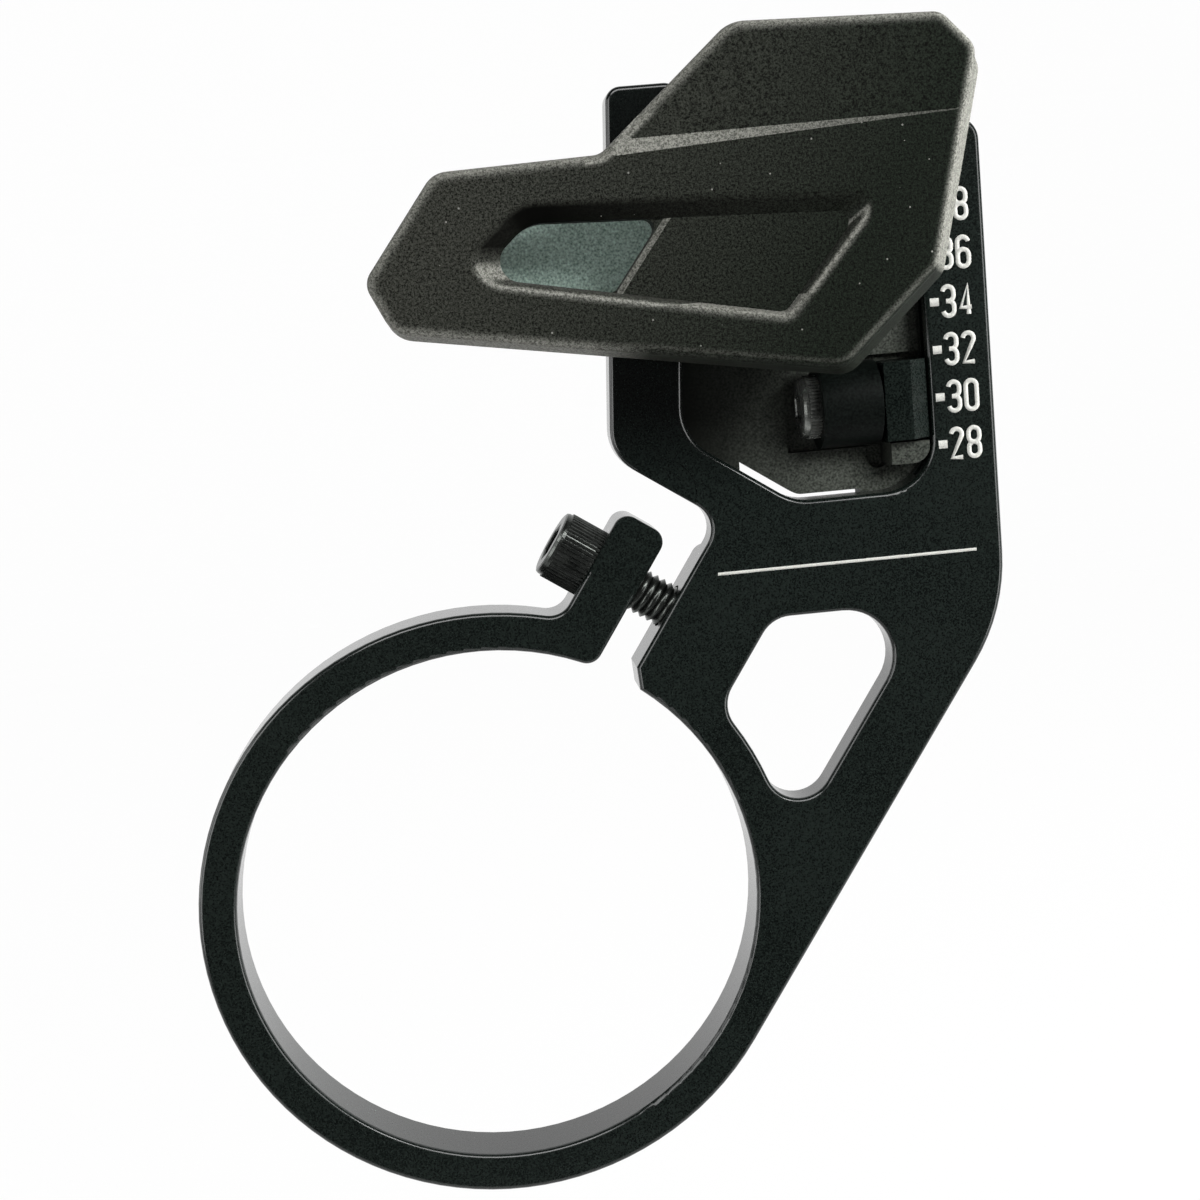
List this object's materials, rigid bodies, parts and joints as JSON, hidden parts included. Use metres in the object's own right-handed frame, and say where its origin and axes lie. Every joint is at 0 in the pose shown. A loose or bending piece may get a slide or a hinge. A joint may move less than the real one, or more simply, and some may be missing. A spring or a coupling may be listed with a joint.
{
  "type": "bicycle chain guide",
  "caption": "Bicycle chain guide: split clamp ring on a machined arm, open fork with a height scale, and a moulded chain channel that slides along the fork and locks with a screw.",
  "frame": {"origin": "centre of the clamp bore at half the ring's depth", "axes": "+Y along the bore towards the bicycle frame, +Z along the height scale, +X across the plate towards the scale rail"},
  "size_m": [0.0734, 0.0201, 0.0988],
  "materials": {
    "anodised_black": "satin black anodised, fine blasted grain",
    "outer_nylon": "charcoal moulded nylon, fine spark texture",
    "inner_nylon": "dark grey moulded nylon, smooth satin",
    "black_steel": "black oxide steel"
  },
  "bodies": {
    "backplate": {"backplate": "anodised_black", "clamp_screw": "black_steel"},
    "guide": {"inner_guide": "inner_nylon", "outer_guide": "outer_nylon", "outer_guide_screws": "black_steel", "lock_screw": "black_steel", "lock_jaw": "anodised_black"}
  },
  "joints": [
    {"name": "height", "type": "slide", "parent": "backplate", "child": "guide", "axis": [0, 0, 1], "range_m": [0, 0.0205]}
  ]
}
